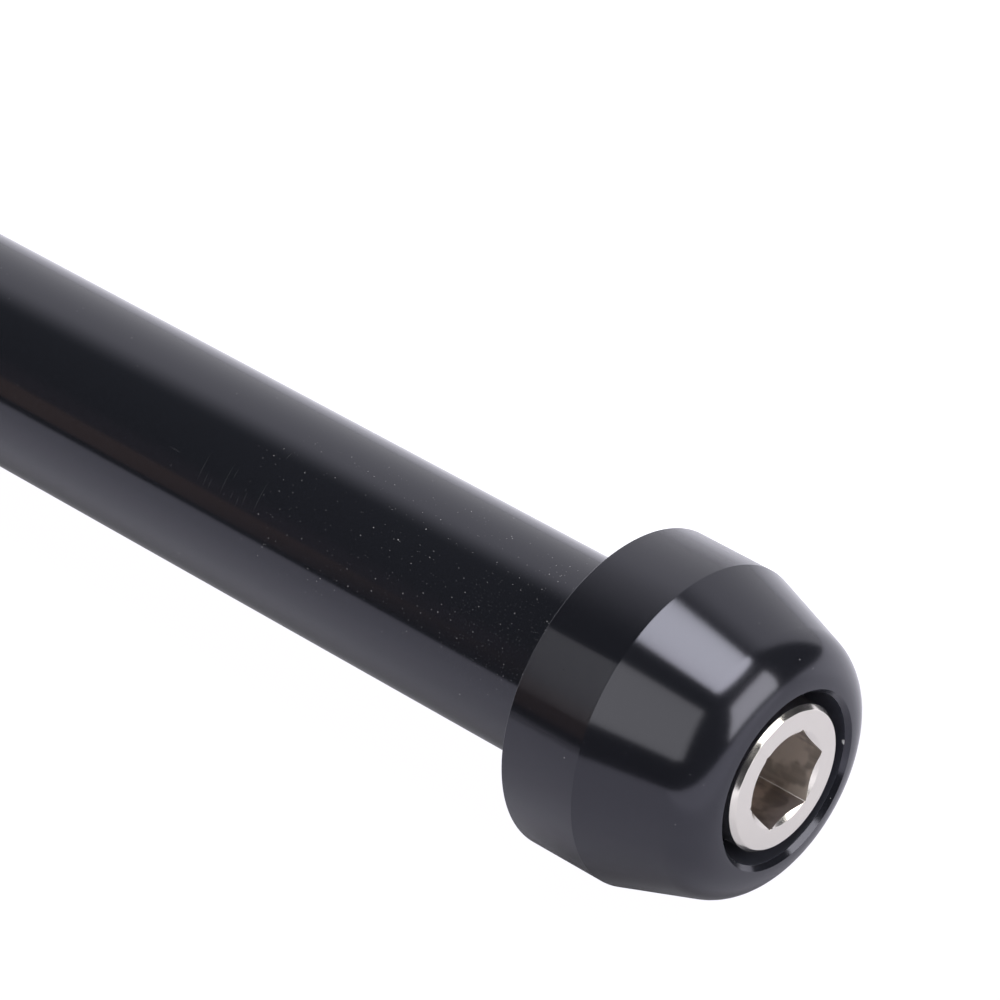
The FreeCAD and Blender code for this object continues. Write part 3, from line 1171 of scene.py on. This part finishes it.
def make_surroundings(settings):
    """White paper behind the axle, a dark room on the camera's side, and white for the camera."""
    world = bpy.data.worlds.new("studio")
    world.use_nodes = True
    bpy.context.scene.world = world
    tree = world.node_tree
    heading = put(tree, "ShaderNodeTexCoord").outputs["Generated"]
    parts = split(tree, heading)
    level = parts["Z"]
    azimuth = calculate(tree, "ARCTAN2", parts["X"], parts["Y"])

    def side_of(normal, softness):
        return fade(tree, measure(tree, "DOT_PRODUCT", heading, normal), -softness, softness)

    def turned(start, end):
        return fade(tree, azimuth, math.radians(start), math.radians(end))

    end = math.radians(PAPER_END)
    right_end = side_of((-math.cos(end), math.sin(end), 0), softness=0.06)
    paper = product(tree, side_of(PAPER_TOP, softness=0.2), right_end)
    # The room is lighter low on one side, and a low brown wall stands there
    low_side = product(tree, *[turned(*edge) for edge in LOW_SIDE])
    low = product(tree, low_side, fade(tree, level, *LOW_TOP))
    wall_height = product(tree, fade(tree, level, *WALL_FOOT), fade(tree, level, *WALL_TOP))
    wall = product(tree, low_side, turned(*WALL_END), wall_height)
    room = mix_colour(tree, low, settings.room_colour, settings.low_room_colour)
    room = mix_colour(tree, wall, room, settings.wall_colour)
    studio = mix_colour(tree, paper, room, settings.sweep_colour)
    seen = put(tree, "ShaderNodeLightPath").outputs["Is Camera Ray"]
    colour = mix_colour(tree, seen, studio, (1, 1, 1))
    tree.links.new(colour, tree.nodes["Background"].inputs["Color"])


def add_softbox(
    name, target, azimuth, elevation, distance, size, radiance, colour, shape="RECTANGLE", roll=0
):
    """A soft lamp that faces its target. Angles are in degrees, and the azimuth goes from +Y to +X."""
    width, height = size
    turn, rise = math.radians(azimuth), math.radians(elevation)
    heading = Vector((math.cos(rise) * math.sin(turn), math.cos(rise) * math.cos(turn), math.sin(rise)))
    lamp = bpy.data.lights.new(name, "AREA")
    lamp.shape = shape
    lamp.size = width
    lamp.size_y = height
    # The power that makes the lamp look this bright, where 1 is white
    lamp.energy = (math.pi if shape == "ELLIPSE" else 4) * radiance * width * height
    lamp.color = colour
    holder = add_object(name, lamp)
    holder.location = target + heading * distance
    facing = heading.to_track_quat("Z", "Y") @ Quaternion((0, 0, 1), math.radians(roll))
    holder.rotation_euler = facing.to_euler()
    holder.visible_camera = False


def add_camera(settings):
    """The camera, which looks at the axle as the photograph's did."""
    level = math.cos(settings.elevation)
    look = Vector((
        -level * math.sin(settings.azimuth),
        level * math.cos(settings.azimuth),
        -math.sin(settings.elevation),
    ))
    lens = bpy.data.cameras.new("photo_camera")
    lens.sensor_width = 36
    lens.lens = settings.lens
    lens.clip_start = 0.01
    camera = add_object("photo_camera", lens)
    camera.location = Vector(settings.aim) - look * settings.distance
    camera.rotation_euler = look.to_track_quat("-Z", "Y").to_euler()
    bpy.context.scene.camera = camera


class THRUAXLE_OT_axle_body(bpy.types.Operator):
    """Add the black anodised body of the axle"""

    bl_idname = "thruaxle.axle_body"
    bl_label = "Add Axle Body"

    def execute(self, context):
        sizes, insert = context.scene.axle_body_sizes, context.scene.key_insert_sizes
        finish = context.scene.anodise_finish
        grain = finish.head_grain
        head = make_anodise(
            "black_anodise_head", finish, finish.colour, finish.head_roughness, grain, HEAD_MARKS
        )
        shaft = make_anodise(
            "black_anodise_shaft", finish, finish.shaft_colour, finish.shaft_roughness,
            SHAFT_GRAIN, SHAFT_MARKS, scratches=SHAFT_SCRATCHES,
        )
        band = make_anodise(
            "black_anodise_band", finish, finish.colour, finish.band_roughness, grain, HEAD_MARKS,
            feed_slope=math.tan(finish.band_feed_slope),
        )
        recess = make_anodise(
            "black_anodise_recess", finish, finish.recess_colour, finish.recess_roughness,
            grain, HEAD_MARKS, speck=WHITE_SPECK_GLINT,
        )
        rim = make_anodise(
            "black_anodise_edge", finish, finish.edge_colour, finish.edge_roughness,
            grain=0.0, mark_depth=0.0,
        )
        materials = (head, shaft, band, recess, rim)
        piece = build_axle_body(sizes, insert, materials, axle_placement(sizes, insert))
        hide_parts("axle_body")
        return {"FINISHED"}


class THRUAXLE_OT_key_insert(bpy.types.Operator):
    """Add the bright insert with the key socket"""

    bl_idname = "thruaxle.key_insert"
    bl_label = "Add Key Insert"

    def execute(self, context):
        body, sizes = context.scene.axle_body_sizes, context.scene.key_insert_sizes
        finish = context.scene.plating_finish
        mouth = body.shaft_length + body.head_length - sizes.setback
        plating = make_plating("bright_plating", finish.colour, finish.roughness, FACE_MARKS)
        polished = make_plating("polished_edge", finish.colour, finish.edge_roughness, EDGE_MARKS)
        broached = make_broached(
            "broached_socket", finish, finish.socket_colour, finish.socket_shaded_deep_colour,
            finish.socket_roughness, mouth, sizes.socket_turn,
        )
        # One wall's copy of the broached steel, with painted shade near the mouth and painted light
        # further in
        stain_and_shade = make_broached(
            "shaded_socket_wall", finish, finish.shaded_wall_colour, finish.shaded_wall_lit_deep_colour,
            finish.shaded_wall_roughness, mouth, sizes.socket_turn,
        )
        materials = (plating, broached, stain_and_shade, polished)
        piece = build_key_insert(body, sizes, materials, axle_placement(body, sizes))
        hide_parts("hex_insert")
        return {"FINISHED"}


class THRUAXLE_OT_stage(bpy.types.Operator):
    """Add the white table, the studio lamps and the camera"""

    bl_idname = "thruaxle.stage"
    bl_label = "Add Stage"

    def execute(self, context):
        settings = context.scene.stage_settings
        make_table(settings)
        make_surroundings(settings)
        head = Vector(MOUNTS["hex_socket"]["pos_m"])
        past_head = head + Vector((80 * MM, 0, 0))
        add_softbox(
            "overhead_softbox", past_head, azimuth=0, elevation=83.7,
            distance=1.0, size=(0.48, 0.69), radiance=6.5, colour=(0.96, 0.97, 1.0), shape="ELLIPSE",
        )
        add_softbox(
            "side_softbox", head, azimuth=74, elevation=26.2,
            distance=0.8, size=(0.52, 0.565), radiance=3.75, colour=(1.0, 1.0, 1.0),
        )
        add_softbox(
            "front_softbox", head, azimuth=-175, elevation=40.6,
            distance=0.8, size=(0.53, 0.59), radiance=1.55, colour=(1.0, 1.0, 0.96), roll=12,
        )
        add_camera(settings)
        context.scene.view_settings.view_transform = "Standard"
        return {"FINISHED"}


class THRUAXLE_PT_panel(bpy.types.Panel):
    """The thru axle's pieces and settings in the sidebar"""

    bl_label = "Thru Axle"
    bl_idname = "THRUAXLE_PT_panel"
    bl_space_type = "VIEW_3D"
    bl_region_type = "UI"
    bl_category = "Thru Axle"

    def draw(self, context):
        layout = self.layout
        for operator in OPERATORS:
            layout.operator(operator.bl_idname)
        for name, group in SETTINGS:
            box = layout.box()
            for setting in group.__annotations__:
                box.prop(getattr(context.scene, name), setting)


SETTINGS = (
    ("axle_body_sizes", AxleBodySizes),
    ("key_insert_sizes", KeyInsertSizes),
    ("anodise_finish", AnodiseFinish),
    ("plating_finish", PlatingFinish),
    ("stage_settings", StageSettings),
)
OPERATORS = (THRUAXLE_OT_axle_body, THRUAXLE_OT_key_insert, THRUAXLE_OT_stage)


def register():
    """Make the settings and the operators known to Blender."""
    for name, group in SETTINGS:
        bpy.utils.register_class(group)
        setattr(bpy.types.Scene, name, PointerProperty(type=group))
    for part in (*OPERATORS, THRUAXLE_PT_panel):
        bpy.utils.register_class(part)


def unregister():
    """Take the settings and the operators out again."""
    for part in reversed((*OPERATORS, THRUAXLE_PT_panel)):
        bpy.utils.unregister_class(part)
    for name, group in reversed(SETTINGS):
        delattr(bpy.types.Scene, name)
        bpy.utils.unregister_class(group)


def main():
    """Build the pieces and the stage."""
    register()
    bpy.ops.thruaxle.axle_body()
    bpy.ops.thruaxle.key_insert()
    bpy.ops.thruaxle.stage()


if __name__ == "__main__":
    main()
